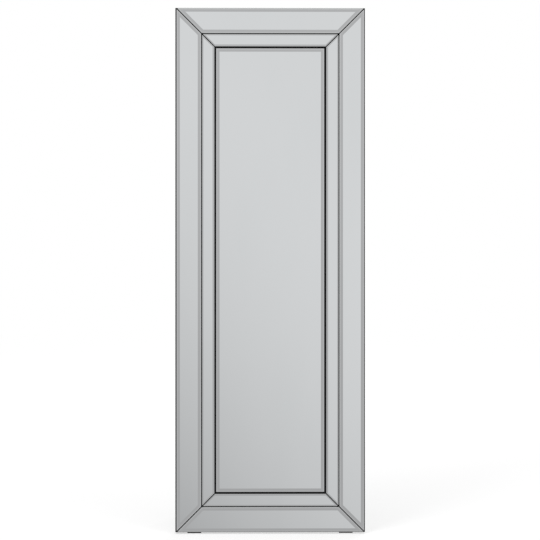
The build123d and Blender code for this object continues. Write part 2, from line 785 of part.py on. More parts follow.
# Strut arm, from the knee to the strut's pivot
with BuildPart() as stay_strut_arm:
    with BuildSketch(stay.offset(-arm_outer)):
        with Locations((frame_arm_length + strut_arm_length / 2, 0)):
            SlotCenterToCenter(strut_arm_length, stay_arm_width)
        with Locations((frame_arm_length, 0), (stay_open_span, 0)):
            Circle(rivet_radius + rivet_clearance, mode=Mode.SUBTRACT)
    extrude(amount=stay_arm_thickness)
stay_strut_arm.part.label = "stay_strut_arm"
export_step(stay_strut_arm.part, "parts/stay_strut_arm.step")

# Knee: a washer keeps the arms apart and a rivet joins them
with BuildPart() as stay_knee_washer:
    with BuildSketch(stay.offset(-arm_inner)):
        with Locations((frame_arm_length, 0)):
            Circle(knee_washer_radius)
            Circle(rivet_radius + rivet_clearance, mode=Mode.SUBTRACT)
    extrude(amount=knee_washer_thickness)
stay_knee_washer.part.label = "stay_knee_washer"
export_step(stay_knee_washer.part, "parts/stay_knee_washer.step")


def rivet(along, shank_start, shank_end, head_starts):
    """A rivet across the stay at a distance along it, with heads starting at each height."""
    with BuildPart() as shape:
        with BuildSketch(stay.offset(shank_start)):
            with Locations((along, 0)):
                Circle(rivet_radius)
        extrude(amount=shank_end - shank_start)
        for start in head_starts:
            with BuildSketch(stay.offset(start)):
                with Locations((along, 0)):
                    Circle(rivet_head_radius)
            extrude(amount=rivet_head_thickness)
    return shape


stay_knee_rivet = rivet(
    frame_arm_length, -arm_outer, arm_outer, [-arm_outer - rivet_head_thickness, arm_outer]
)
stay_knee_rivet.part.label = "stay_knee_rivet"
export_step(stay_knee_rivet.part, "parts/stay_knee_rivet.step")

stay_frame_rivet = rivet(
    0, arm_inner, ear_outer, [arm_inner - rivet_head_thickness, ear_outer]
)
stay_frame_rivet.part.label = "stay_frame_rivet"
export_step(stay_frame_rivet.part, "parts/stay_frame_rivet.step")

# The strut's pivot is open: its rivet ends flush with the arm, and its tail fills the ear
stay_strut_rivet = rivet(stay_open_span, -arm_outer, -arm_inner, [-arm_inner])
stay_strut_rivet.part.label = "stay_strut_rivet"
export_step(stay_strut_rivet.part, "parts/stay_strut_rivet.step")

stay_strut_rivet_tail = rivet(
    stay_open_span, -ear_outer, -ear_inner, [-ear_outer - rivet_head_thickness]
)
stay_strut_rivet_tail.part.label = "stay_strut_rivet_tail"
export_step(stay_strut_rivet_tail.part, "parts/stay_strut_rivet_tail.step")
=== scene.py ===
"""Looks of a free-standing cheval mirror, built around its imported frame.

The frame holds every piece at its real place. This script dresses the bevelled glass, the painted
board, the hinged easel strut and the folding stay, and sets them in a plain white studio.
"""

import logging
import math
from dataclasses import dataclass, field
from enum import Enum

import bmesh
import bpy
from mathutils import Matrix, Vector


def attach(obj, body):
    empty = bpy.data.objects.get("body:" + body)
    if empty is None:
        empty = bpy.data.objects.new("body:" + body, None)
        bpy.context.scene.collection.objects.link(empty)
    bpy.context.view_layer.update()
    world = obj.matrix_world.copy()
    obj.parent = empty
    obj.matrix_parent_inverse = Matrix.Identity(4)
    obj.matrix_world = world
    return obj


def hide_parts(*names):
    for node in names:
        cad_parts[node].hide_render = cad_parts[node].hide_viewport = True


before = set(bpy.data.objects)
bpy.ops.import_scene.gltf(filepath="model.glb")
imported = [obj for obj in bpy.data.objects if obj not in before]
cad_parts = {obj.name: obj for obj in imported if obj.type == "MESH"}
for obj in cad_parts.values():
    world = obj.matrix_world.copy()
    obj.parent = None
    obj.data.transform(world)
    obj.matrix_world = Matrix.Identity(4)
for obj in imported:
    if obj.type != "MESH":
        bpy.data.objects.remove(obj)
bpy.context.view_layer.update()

log = logging.getLogger("cheval_mirror")

Socket = bpy.types.NodeSocket
Level = float | Socket
Triple = tuple[float, float, float]
Colour = Triple
MM = 0.001
SAME_POINT = 0.001 * MM
SAME_PLANE = math.radians(0.5)
SHARP_EDGE = math.radians(25)
SIDES = ("top", "bottom", "left", "right")
HANDS = ("left", "right")

# Numbers of faces across a rounded edge.
PLAIN = 2
FINE = 3


class Body(Enum):
    """Moving bodies of the frame."""

    MIRROR = "mirror"
    STRUT = "strut"
    FRAME_ARM = "stay_frame_arm"
    STRUT_ARM = "stay_strut_arm"


class Slot(Enum):
    """Material slots of the record."""

    MIRROR_GLASS = "mirror_glass"
    BLACK_BOARD = "black_board"
    BLACK_WOOD = "black_wood"
    FOAM_TAPE = "foam_tape"
    ZINC_STEEL = "zinc_steel"
    SCREW_STEEL = "screw_steel"
    RUBBER = "rubber"
    FELT = "felt"


class Facet(Enum):
    """Kinds of face on a pane of bevelled glass, in the order of its materials."""

    FLAT = 0
    BEVEL = 1
    ARRIS = 2
    EDGE = 3
    BACK = 4
    LACQUERED = 5
    # A narrow strip of brighter silver along the outer side of each bevel: a painted highlight line.
    RIM = 6


class NodeGraph:
    """A node tree under construction, with short calls for what the materials and the world share."""

    def __init__(self, tree: bpy.types.NodeTree) -> None:
        """Takes over the tree that the nodes go into."""
        self.tree = tree

    def node(self, kind: str, **settings: str) -> bpy.types.Node:
        """Adds a node.

        Args:
            kind: Blender's type name, without the ShaderNode prefix.
            settings: Properties to set on the node.

        Returns:
            The new node.
        """
        made = self.tree.nodes.new("ShaderNode" + kind)
        for key, value in settings.items():
            setattr(made, key, value)
        return made

    def link(self, source: Socket, target: Socket) -> None:
        """Joins an output to an input."""
        self.tree.links.new(source, target)

    def feed(self, target: Socket, value: Level) -> None:
        """Links an input to an output, or sets it to a number.

        Args:
            target: The input.
            value: The output or the number.
        """
        if isinstance(value, Socket):
            self.link(value, target)
        else:
            target.default_value = value

    def number(self, operation: str, *values: Level) -> Socket:
        """Adds an operation on numbers.

        Args:
            operation: Blender's name of the operation.
            values: Numbers or sockets, in the order of the node's inputs.

        Returns:
            The result.
        """
        made = self.node("Math", operation=operation)
        for value, socket in zip(values, made.inputs):
            self.feed(socket, value)
        return made.outputs["Value"]

    def along(self, direction: Socket, axis: Vector) -> Socket:
        """Gives how far a direction runs along an axis.

        Args:
            direction: The direction.
            axis: A unit vector.

        Returns:
            Their dot product.
        """
        made = self.node("VectorMath", operation="DOT_PRODUCT")
        made.inputs[1].default_value = axis
        self.link(direction, made.inputs[0])
        return made.outputs["Value"]

    def ease(
        self,
        value: Socket,
        low: Level = 0.0,
        high: Level = 1.0,
        start: float = 0.3,
        end: float = 0.7,
    ) -> Socket:
        """Maps a value smoothly to another range.

        Args:
            value: The value. The usual start and end suit a noise.
            low: Result where the value is at start or short of it.
            high: Result where the value is at end or past it.
            start: Value that gives low.
            end: Value that gives high.

        Returns:
            The mapped value.
        """
        mapped = self.node("MapRange", interpolation_type="SMOOTHSTEP")
        bounds = {"From Min": start, "From Max": end, "To Min": low, "To Max": high, "Value": value}
        for name, bound in bounds.items():
            self.feed(mapped.inputs[name], bound)
        return mapped.outputs["Result"]


class Recipe(NodeGraph):
    """A material under construction."""

    def __init__(self, name: str) -> None:
        """Starts a material that holds only its surface shader.

        Args:
            name: Name of the material.
        """
        self.material = bpy.data.materials.new(name)
        self.material.use_nodes = True
        super().__init__(self.material.node_tree)
        self.surface = self.tree.nodes["Principled BSDF"]

    def place(self, turn: Triple = (0, 0, 0), stretch: Triple = (1, 1, 1)) -> Socket:
        """Gives the piece's own coordinates, turned and stretched.

        Args:
            turn: Euler angles of the pattern's turn, in radians.
            stretch: Factor on each axis after the turn.

        Returns:
            The coordinates in metres, times the stretch.
        """
        coordinates = self.node("TexCoord")
        turned = self.node("Mapping", vector_type="POINT")
        turned.inputs["Rotation"].default_value = turn
        stretched = self.node("Mapping", vector_type="POINT")
        stretched.inputs["Scale"].default_value = stretch
        self.link(coordinates.outputs["Object"], turned.inputs["Vector"])
        self.link(turned.outputs["Vector"], stretched.inputs["Vector"])
        return stretched.outputs["Vector"]

    def noise(self, where: Socket, per_metre: float, detail: float) -> Socket:
        """Adds a soft random pattern.

        Args:
            where: Coordinates of the pattern.
            per_metre: How many lumps there are to a metre.
            detail: How much finer detail is layered on.

        Returns:
            The pattern's value, from 0 to 1.
        """
        pattern = self.node("TexNoise")
        pattern.inputs["Scale"].default_value = per_metre
        pattern.inputs["Detail"].default_value = detail
        self.link(where, pattern.inputs["Vector"])
        return pattern.outputs["Fac"]

    def cells(self, where: Socket, per_metre: float) -> Socket:
        """Adds a pattern of round cells.

        Args:
            where: Coordinates of the pattern.
            per_metre: How many cells there are to a metre.

        Returns:
            The distance to each cell's middle.
        """
        pattern = self.node("TexVoronoi")
        pattern.inputs["Scale"].default_value = per_metre
        self.link(where, pattern.inputs["Vector"])
        return pattern.outputs["Distance"]

    def mixed(self, share: Socket, first: Colour | Socket, second: Colour | Socket) -> Socket:
        """Mixes two colours.

        Args:
            share: How much of the second colour shows.
            first: A colour, or a socket that gives one.
            second: A colour, or a socket that gives one.

        Returns:
            The mixed colour.
        """
        mix = self.node("Mix", data_type="RGBA")
        self.link(share, mix.inputs["Factor"])
        inputs = {socket.identifier: socket for socket in mix.inputs}
        for colour, name in ((first, "A_Color"), (second, "B_Color")):
            if isinstance(colour, Socket):
                self.link(colour, inputs[name])
            else:
                inputs[name].default_value = (*colour, 1)
        return next(socket for socket in mix.outputs if socket.identifier == "Result_Color")

    def relief(self, height: Socket, depth: float, strength: float) -> None:
        """Raises the surface with a pattern.

        Args:
            height: The pattern.
            depth: Height of the relief in metres.
            strength: How strongly it turns the surface's normal.
        """
        bump = self.node("Bump")
        bump.inputs["Strength"].default_value = strength
        bump.inputs["Distance"].default_value = depth
        self.link(height, bump.inputs["Height"])
        self.link(bump.outputs["Normal"], self.surface.inputs["Normal"])

    def constant(self, **values: float) -> None:
        """Sets plain values on the surface shader, with underscores for spaces in their names."""
        for name, value in values.items():
            self.surface.inputs[name.replace("_", " ")].default_value = value

    def drive(self, name: str, source: Socket) -> None:
        """Links a pattern to one of the surface shader's inputs."""
        self.link(source, self.surface.inputs[name])


@dataclass(frozen=True)
class SilveredGlass:
    """The mirror as seen through its glass: a clear cool reflection with a trace of wiping haze."""

    name: str
    silver: Colour
    haze: Colour
    clearest: float = 0.004
    haziest: float = 0.02

    def material(self) -> bpy.types.Material:
        """Mixes the finish.

        Returns:
            The material.
        """
        recipe = Recipe(self.name)
        wiped = recipe.noise(recipe.place(stretch=(1, 1, 0.25)), per_metre=9, detail=4)
        share = recipe.ease(wiped, start=0.42, end=0.72)
        recipe.drive("Base Color", recipe.mixed(share, self.silver, self.haze))
        fine = recipe.noise(recipe.place(), per_metre=60, detail=3)
        recipe.drive("Roughness", recipe.ease(fine, self.clearest, self.haziest, start=0.45, end=0.8))
        recipe.constant(Metallic=1)
        return recipe.material


@dataclass(frozen=True)
class PolishedEdge:
    """The side of a pane of float glass, deep green where one looks into its length."""

    name: str = "polished_glass_edge"
    deep: Colour = (0.006, 0.028, 0.021)
    pale: Colour = (0.018, 0.062, 0.048)

    def material(self) -> bpy.types.Material:
        """Mixes the finish.

        Returns:
            The material.
        """
        recipe = Recipe(self.name)
        clouds = recipe.noise(recipe.place(), per_metre=35, detail=2)
        recipe.drive("Base Color", recipe.mixed(recipe.ease(clouds), self.deep, self.pale))
        ground = recipe.noise(recipe.place(), per_metre=2600, detail=2)
        recipe.drive("Roughness", recipe.ease(ground, low=0.10, high=0.24))
        recipe.relief(ground, depth=0.03 * MM, strength=0.3)
        recipe.constant(Specular_IOR_Level=0.3, IOR=1.52)
        return recipe.material


@dataclass(frozen=True)
class EdgeLacquer:
    """Black lacquer on the narrow arris of a pane, so that its joint reads as a dark line."""

    name: str = "black_edge_lacquer"
    full: Colour = (0.004, 0.004, 0.004)
    thin: Colour = (0.009, 0.009, 0.009)

    def material(self) -> bpy.types.Material:
        """Mixes the finish.

        Returns:
            The material.
        """
        recipe = Recipe(self.name)
        brushed = recipe.noise(recipe.place(), per_metre=180, detail=3)
        recipe.drive("Base Color", recipe.mixed(recipe.ease(brushed), self.full, self.thin))
        recipe.drive("Roughness", recipe.ease(brushed, low=0.6, high=0.75))
        recipe.constant(Specular_IOR_Level=0.05)
        return recipe.material


@dataclass(frozen=True)
class BackingPaint:
    """Grey protective paint over the silver on the back of the glass."""

    name: str = "grey_backing_paint"
    thin: Colour = (0.16, 0.17, 0.18)
    thick: Colour = (0.20, 0.21, 0.22)

    def material(self) -> bpy.types.Material:
        """Mixes the finish.

        Returns:
            The material.
        """
        recipe = Recipe(self.name)
        curtain = recipe.noise(recipe.place(stretch=(4, 1, 0.4)), per_metre=40, detail=3)
        recipe.drive("Base Color", recipe.mixed(recipe.ease(curtain), self.thin, self.thick))
        recipe.drive("Roughness", recipe.ease(curtain, low=0.5, high=0.65))
        return recipe.material


@dataclass(frozen=True)
class PaintedBoard:
    """Black paint on fibreboard: a fine pebbled film with a little dust and rub in it."""

    name: str = "black_painted_board"
    film: Colour = (0.014, 0.014, 0.015)
    worn: Colour = (0.021, 0.021, 0.022)
    dust: Colour = (0.07, 0.068, 0.066)
    dustiest: float = 0.5
    shine: float = 0.22

    def material(self) -> bpy.types.Material:
        """Mixes the finish.

        Returns:
            The material.
        """
        recipe = Recipe(self.name)
        where = recipe.place()
        rubbed = recipe.ease(recipe.noise(where, per_metre=7, detail=5), start=0.35, end=0.7)
        painted = recipe.mixed(rubbed, self.film, self.worn)
        grains = recipe.noise(where, per_metre=1500, detail=1)
        specks = recipe.ease(grains, high=self.dustiest, start=0.68, end=0.8)
        recipe.drive("Base Color", recipe.mixed(specks, painted, self.dust))
        clouds = recipe.noise(where, per_metre=30, detail=4)
        recipe.drive("Roughness", recipe.ease(clouds, low=0.52, high=0.68))
        recipe.relief(recipe.noise(where, per_metre=900, detail=3), depth=0.2 * MM, strength=0.55)
        recipe.constant(Specular_IOR_Level=self.shine)
        return recipe.material


@dataclass(frozen=True)
class StainedWood:
    """Black stained softwood whose grain runs along the piece."""

    name: str
    turn: Triple
    dark: Colour = (0.012, 0.011, 0.011)
    light: Colour = (0.045, 0.041, 0.038)
    pore: Colour = (0.005, 0.005, 0.005)
    pore_depth: float = 1.2

    def material(self) -> bpy.types.Material:
        """Mixes the finish, with the grain along the Z axis of the turned pattern.

        Returns:
            The material.
        """
        recipe = Recipe(self.name)
        slow = recipe.noise(recipe.place(self.turn, (1, 1, 0.035)), per_metre=240, detail=3)
        fibres = recipe.noise(recipe.place(self.turn, (1, 1, 0.01)), per_metre=2600, detail=2)
        dots = recipe.noise(recipe.place(self.turn, (1, 1, 0.04)), per_metre=1500, detail=1)
        pores = recipe.ease(dots, start=0.62, end=0.7)
        rings = recipe.mixed(recipe.ease(slow, start=0.42, end=0.6), self.dark, self.light)
        streaks = recipe.ease(fibres, high=0.75, start=0.42, end=0.66)
        streaked = recipe.mixed(streaks, rings, self.dark)
        recipe.drive("Base Color", recipe.mixed(pores, streaked, self.pore))
        recipe.drive("Roughness", recipe.ease(fibres, low=0.32, high=0.55))
        sunk = recipe.number("MULTIPLY_ADD", pores, -self.pore_depth, fibres)
        recipe.relief(sunk, depth=0.22 * MM, strength=0.7)
        recipe.constant(Specular_IOR_Level=0.45, Coat_Weight=0.15, Coat_Roughness=0.3)
        return recipe.material


@dataclass(frozen=True)
class FoamTape:
    """Closed-cell foam of the mounting tape, seen on its cut edges, with painted shade in its open cells.
    """

    name: str = "foam_tape"
    wall: Colour = (0.022, 0.022, 0.023)
    pore: Colour = (0.006, 0.006, 0.006)

    def material(self) -> bpy.types.Material:
        """Mixes the finish.

        Returns:
            The material.
        """
        recipe = Recipe(self.name)
        cells = recipe.cells(recipe.place(), per_metre=3200)
        # The cut cells take the dark pore colour towards their middles, where the same pattern sinks the
        # relief: painted shade inside the open cells.
        walls = recipe.ease(cells, start=0.1, end=0.6)
        recipe.drive("Base Color", recipe.mixed(walls, self.pore, self.wall))
        recipe.drive("Roughness", recipe.ease(cells, low=0.95, high=0.8, start=0.1, end=0.6))
        recipe.relief(cells, depth=0.2 * MM, strength=0.8)
        return recipe.material


@dataclass(frozen=True)
class ZincPlate:
    """Bright zinc over rolled steel: cool, faintly mottled, with fine rolling streaks."""

    name: str
    cool: Colour = (0.56, 0.60, 0.64)
    warm: Colour = (0.66, 0.65, 0.61)
    dull: Colour = (0.38, 0.39, 0.41)
    dullest: float = 0.35
    smoothest: float = 0.2
    roughest: float = 0.38
    streak: Triple = (1.0, 1.0, 0.06)

    def material(self) -> bpy.types.Material:
        """Mixes the finish.

        Returns:
            The material.
        """
        recipe = Recipe(self.name)
        mottle = recipe.noise(recipe.place(), per_metre=240, detail=3)
        plated = recipe.mixed(recipe.ease(mottle, start=0.38, end=0.66), self.cool, self.warm)
        rolled = recipe.noise(recipe.place(stretch=self.streak), per_metre=2200, detail=3)
        streaks = recipe.ease(rolled, high=self.dullest, start=0.55, end=0.75)
        recipe.drive("Base Color", recipe.mixed(streaks, plated, self.dull))
        recipe.drive("Roughness", recipe.ease(rolled, self.smoothest, self.roughest))
        recipe.relief(rolled, depth=0.04 * MM, strength=0.35)
        recipe.constant(Metallic=1)
        return recipe.material


@dataclass(frozen=True)
class MouldedRubber:
    """Matt black rubber with the fine texture of its mould and a grey bloom."""

    name: str = "moulded_rubber"
    black: Colour = (0.016, 0.016, 0.016)
    bloom: Colour = (0.05, 0.05, 0.052)

    def material(self) -> bpy.types.Material:
        """Mixes the finish.

        Returns:
            The material.
        """
        recipe = Recipe(self.name)
        where = recipe.place()
        bloomed = recipe.ease(recipe.noise(where, per_metre=120, detail=4), start=0.4, end=0.7)
        recipe.drive("Base Color", recipe.mixed(bloomed, self.black, self.bloom))
        grip = recipe.noise(where, per_metre=2400, detail=2)
        recipe.drive("Roughness", recipe.ease(grip, low=0.62, high=0.85))
        recipe.relief(grip, depth=0.12 * MM, strength=0.6)
        return recipe.material


@dataclass(frozen=True)
class PressedFelt:
    """Dark grey pressed felt with a soft nap, painted darker in the nap's hollows."""

    name: str = "pressed_felt"
    shade: Colour = (0.035, 0.036, 0.040)
    fibre: Colour = (0.12, 0.12, 0.13)

    def material(self) -> bpy.types.Material:
        """Mixes the finish.

        Returns:
            The material.
        """
        recipe = Recipe(self.name)
        nap = recipe.noise(recipe.place(), per_metre=1900, detail=5)
        # The dark colour fills the low spots of the same nap that makes the relief, the pale one its high
        # spots: painted shade in the nap's hollows.
        raised = recipe.ease(nap, start=0.35, end=0.72)
        recipe.drive("Base Color", recipe.mixed(raised, self.shade, self.fibre))
        recipe.drive("Roughness", recipe.ease(nap, low=0.98, high=0.85))
        recipe.relief(nap, depth=0.5 * MM, strength=0.9)
        recipe.constant(Sheen_Weight=0.5, Sheen_Roughness=0.4)
        return recipe.material


@dataclass(frozen=True)
class PaleFloor:
    """The studio's floor: white round the shadow to the camera, an even grey in reflections."""

    name: str = "pale_floor"
    paint: Colour = (0.85, 0.85, 0.85)
    paint_in_view: Colour = (0.45, 0.45, 0.45)
    veil: float = 0.62
    white: float = 1.0
    in_glass: float = 0.46
    fade_from: float = 1.2
    fade_to: float = 3.0

    def glow(self, recipe: Recipe, level: Level) -> Socket:
        """Adds an even white glow.

        Args:
            recipe: The material under construction.
            level: Brightness, where 1 is white.

        Returns:
            The glow's shader.
        """
        glow = recipe.node("Emission")
        recipe.feed(glow.inputs["Strength"], level)
        return glow.outputs["Emission"]

    def blend(self, recipe: Recipe, share: Socket, first: Socket, second: Socket) -> Socket:
        """Mixes two shaders.

        Args:
            recipe: The material under construction.
            share: How much of the second shader shows.
            first: A shader.
            second: A shader.

        Returns:
            The mixed shader.
        """
        mix = recipe.node("MixShader")
        for source, socket in zip((share, first, second), mix.inputs):
            recipe.link(source, socket)
        return mix.outputs["Shader"]

    def material(self) -> bpy.types.Material:
        """Mixes the finish.

        Returns:
            The material.
        """
        recipe = Recipe(self.name)
        recipe.tree.nodes.remove(recipe.surface)
        rays = recipe.node("LightPath").outputs
        in_view = rays["Is Camera Ray"]
        pale = recipe.node("BsdfDiffuse")
        recipe.link(recipe.mixed(in_view, self.paint, self.paint_in_view), pale.inputs["Color"])
        veil = self.glow(recipe, recipe.number("MULTIPLY", in_view, self.veil))
        veiled = recipe.node("AddShader")
        recipe.link(pale.outputs["BSDF"], veiled.inputs[0])
        recipe.link(veil, veiled.inputs[1])
        far = recipe.node("VectorMath", operation="LENGTH")
        recipe.link(recipe.node("TexCoord").outputs["Object"], far.inputs[0])
        fade = recipe.ease(far.outputs["Value"], start=self.fade_from, end=self.fade_to)
        faded = recipe.number("MULTIPLY", fade, in_view)
        seen = self.blend(recipe, faded, veiled.outputs["Shader"], self.glow(recipe, self.white))
        reflected = recipe.number("MAXIMUM", rays["Is Glossy Ray"], rays["Is Transmission Ray"])
        surface = self.blend(recipe, reflected, seen, self.glow(recipe, self.in_glass))
        recipe.link(surface, recipe.tree.nodes["Material Output"].inputs["Surface"])
        return recipe.material


def screw_zinc(name: str) -> bpy.types.Material:
    """Mixes the duller zinc of a set of screws."""
    return ZincPlate(name, smoothest=0.24, roughest=0.42).material()


def merged(node: str) -> bmesh.types.BMesh:
    """Copies a CAD node's mesh with its flat faces whole again.

    Args:
        node: Name of the node.

    Returns:
        A new bmesh, which the caller frees.
    """
    shape = bmesh.new()
    shape.from_mesh(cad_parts[node].data)
    bmesh.ops.remove_doubles(shape, verts=shape.verts, dist=SAME_POINT)
    bmesh.ops.dissolve_limit(shape, angle_limit=SAME_PLANE, verts=shape.verts, edges=shape.edges)
    shape.normal_update()
    return shape


def front_face(node: str) -> tuple[Vector, Vector]:
    """Finds the largest flat face on the front of a CAD node.

    Args:
        node: Name of the node.

    Returns:
        The face's outward normal and its middle, in metres.
    """
    shape = merged(node)
    face = max((f for f in shape.faces if f.normal.y < 0), key=lambda f: f.calc_area())
    found = face.normal.copy(), face.calc_center_median()
    shape.free()
    return found


def piece_from(
    shape: bmesh.types.BMesh, name: str, body: Body, materials: list[bpy.types.Material]
) -> bpy.types.Object:
    """Makes a piece of a bmesh and lets it ride on a body.

    Args:
        shape: The bmesh, which is freed here.
        name: Name of the piece.
        body: Body that carries it.
        materials: Materials in the order of the faces' indices.

    Returns:
        The new object.
    """
    mesh = bpy.data.meshes.new(name)
    shape.to_mesh(mesh)
    shape.free()
    for material in materials:
        mesh.materials.append(material)
    piece = bpy.data.objects.new(name, mesh)
    bpy.context.scene.collection.objects.link(piece)
    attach(piece, body.value)
    log.info("%s rides on %s", name, body.value)
    return piece


def soften(piece: bpy.types.Object, width: float, segments: int) -> None:
    """Rounds a piece's sharp edges and shades its curves smooth.

    Args:
        piece: The piece.
        width: Width of the rounding in metres.
        segments: Number of faces across the rounding.
    """
    rounding = piece.modifiers.new("rounded_edges", "BEVEL")
    rounding.width = width
    rounding.segments = segments
    rounding.limit_method = "ANGLE"
    rounding.angle_limit = SHARP_EDGE
    rounding.use_clamp_overlap = True
    rounding.harden_normals = True
    piece.data.shade_smooth()


def refine(
    node: str,
    name: str,
    body: Body,
    material: bpy.types.Material,
    width: float,
    segments: int = PLAIN,
) -> bpy.types.Object:
    """Replaces a CAD node by a copy with rounded edges.

    Args:
        node: Name of the CAD node.
        name: Name of the piece that stands for it.
        body: Body that carries it.
        material: Its material.
        width: Width of the rounding in metres.
        segments: Number of faces across the rounding.

    Returns:
        The new piece.
    """
    piece = piece_from(merged(node), name, body, [material])
    soften(piece, width, segments)
    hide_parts(node)
    return piece


def dress(node: str, material: bpy.types.Material) -> None:
    """Gives a CAD node that stays as it is its material.

    Args:
        node: Name of the CAD node.
        material: Its material.
    """
    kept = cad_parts[node]
    kept.data.materials.clear()
    kept.data.materials.append(material)
    log.info("%s keeps its shape", node)


@dataclass
class MirrorFace:
    """The front: two mitred rings of bevelled strips and the bevelled centre pane, on foam tape.

    A face is flat, bevel or arris down to flat_from, bevel_from and arris_from, the cosines of its
    angle to the front. An arris looks outward where it lies more than mitre_reach from the middle of
    the mirror, measured along its own normal.
    """

    flat_from: float = math.cos(math.radians(2))
    bevel_from: float = math.cos(math.radians(20))
    arris_from: float = 0.15
    mitre_reach: float = 0.12
    # Width limits of the painted highlight line along each bevel, in metres and as a share of the bevel's
    # width.
    widest_highlight_rim: float = 3.0 * MM
    highlight_rim_share: float = 0.35
    front: Vector = field(init=False)
    middle: Vector = field(init=False)
    materials: list[bpy.types.Material] = field(init=False)
    foam: bpy.types.Material = field(init=False)

    def __post_init__(self) -> None:
        """Finds the front and mixes the finishes that all the panes share."""
        self.front, self.middle = front_face("centre_mirror")
        finishes = {
            Facet.FLAT: SilveredGlass(
                "silvered_glass", silver=(0.845, 0.863, 0.874), haze=(0.835, 0.855, 0.866)
            ),
            # The bevel's silver is a darker copy of the flat silver: partly the real loss through the
            # tilted glass, partly painted shade.
            Facet.BEVEL: SilveredGlass(
                "silvered_bevel", (0.79, 0.80, 0.81), (0.78, 0.79, 0.80), clearest=0.01, haziest=0.03
            ),
            # A paler copy of the bevel's silver along its outer side: a painted highlight line.
            Facet.RIM: SilveredGlass(
                "bevel_painted_highlight", (0.91, 0.92, 0.93), (0.89, 0.90, 0.91), clearest=0.01, haziest=0.03
            ),
            Facet.ARRIS: SilveredGlass(
                "ground_arris", (0.84, 0.87, 0.86), (0.80, 0.84, 0.83), clearest=0.10, haziest=0.2
            ),
            Facet.LACQUERED: EdgeLacquer(),
            Facet.EDGE: PolishedEdge(),
            Facet.BACK: BackingPaint(),
        }
        self.materials = [finishes[facet].material() for facet in Facet]
        self.foam = FoamTape().material()

    def facet(self, node: str, face: bmesh.types.BMFace) -> Facet:
        """Tells what kind of face lies on a pane.

        Args:
            node: Name of the pane's CAD node.
            face: The face.

        Returns:
            The kind of face.
        """
        facing = face.normal.dot(self.front)
        if facing > self.flat_from:
            return Facet.FLAT
        if facing > self.bevel_from:
            return Facet.BEVEL
        if facing > self.arris_from:
            outward = face.normal.dot(face.calc_center_median() - self.middle) > self.mitre_reach
            shows_glass = node.startswith("outer_strip") and (node.endswith("top") or not outward)
            return Facet.ARRIS if shows_glass else Facet.LACQUERED
        if facing > -self.arris_from:
            return Facet.EDGE
        return Facet.BACK

    def cut_highlight_rim(self, shape: bmesh.types.BMesh, bevel: bmesh.types.BMFace) -> None:
        """Sets a narrow brighter rim apart along the outer side of a bevel: a painted highlight line in
        paler silver.

        Args:
            shape: The pane, with its facets marked.
            bevel: One bevel of it.
        """
        ground = (Facet.ARRIS.value, Facet.LACQUERED.value)
        borders = [
            edge for edge in bevel.edges if any(face.material_index in ground for face in edge.link_faces)
        ]
        if not borders:
            return
        border = max(borders, key=lambda edge: edge.calc_length())
        start = border.verts[0].co.copy()
        inward = bevel.normal.cross(border.verts[1].co - start).normalized()
        if inward.dot(bevel.calc_center_median() - start) < 0:
            inward.negate()
        width = max((vertex.co - start).dot(inward) for vertex in bevel.verts)
        cut = start + inward * min(self.widest_highlight_rim, self.highlight_rim_share * width)
        around = [bevel, *bevel.edges, *bevel.verts]
        halved = bmesh.ops.bisect_plane(
            shape, geom=around, dist=SAME_POINT, plane_co=cut, plane_no=inward
        )
        for part in halved["geom"]:
            if isinstance(part, bmesh.types.BMFace) and inward.dot(part.calc_center_median() - cut) < 0:
                # These faces take the paler silver of the painted highlight line.
                part.material_index = Facet.RIM.value

    def pane(self, node: str) -> None:
        """Dresses one pane of glass.

        Args:
            node: Name of the CAD node that the pane stands for.
        """
        shape = merged(node)
        for face in shape.faces:
            face.smooth = False
            face.material_index = self.facet(node, face).value
        for bevel in [face for face in shape.faces if face.material_index == Facet.BEVEL.value]:
            self.cut_highlight_rim(shape, bevel)
        piece = piece_from(shape, node + "_glass", Body.MIRROR, self.materials)
        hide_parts(node)

    def build(self) -> None:
        """Builds every pane and dresses the tape behind them."""
        for ring in ("outer_strip", "inner_strip"):
            for side in SIDES:
                self.pane(f"{ring}_{side}")
        self.pane("centre_mirror")
        for tape in ("outer_strip_tape", "inner_strip_tape", "centre_mirror_tape"):
            dress(tape, self.foam)


@dataclass
class BackBoard:
    """The black board with its rails, screws, feet and the felt dots that the strut rests on."""

    rail_film: Colour = (0.005, 0.005, 0.005)
    rail_worn: Colour = (0.007, 0.007, 0.007)
    foot_round: float = 0.4 * MM
    felt_round: float = 0.5 * MM
    screw_round: float = 0.18 * MM

    def build(self) -> None:
        """Dresses the board and what is fixed to it."""
        dress("back_panel", PaintedBoard().material())
        matt = PaintedBoard(
            "matt_black_rail", film=self.rail_film, worn=self.rail_worn, dust=self.rail_film, shine=0
        ).material()
        for side in SIDES:
            dress(f"frame_rail_{side}", matt)
        screw = screw_zinc("screw_zinc")
        refine("panel_screws", "panel_screw_heads", Body.MIRROR, screw, self.screw_round)
        rubber = MouldedRubber().material()
        for side in HANDS:
            foot = f"bottom_foot_{side}"
            refine(foot, foot + "_rubber", Body.MIRROR, rubber, self.foot_round)
        pads, name, felt = "strut_rest_pads", "strut_rest_felt", PressedFelt().material()
        dots = refine(pads, name, Body.MIRROR, felt, self.felt_round, FINE)


@dataclass
class StrutHinges:
    """Two steel butt hinges that carry the strut, with their pins and screws."""

    leaf_round: float = 0.3 * MM
    pin_round: float = 0.5 * MM
    screw_round: float = 0.18 * MM

    def build(self) -> None:
        """Dresses the leaves on both bodies, the pins and the screws."""
        steel = ZincPlate("hinge_zinc", streak=(0.05, 1.0, 1.0)).material()
        screw = screw_zinc("hinge_screw_zinc")
        halves = {"frame": Body.MIRROR, "strut": Body.STRUT}
        for side in HANDS:
            for half, body in halves.items():
                leaf = f"hinge_{half}_leaf_{side}"
                refine(leaf, leaf + "_steel", body, steel, self.leaf_round)
            pin = f"hinge_pin_{side}"
            refine(pin, pin + "_steel", Body.MIRROR, steel, self.pin_round, FINE)
        for half, body in halves.items():
            node = f"hinge_{half}_screws"
            refine(node, node + "_steel", body, screw, self.screw_round)


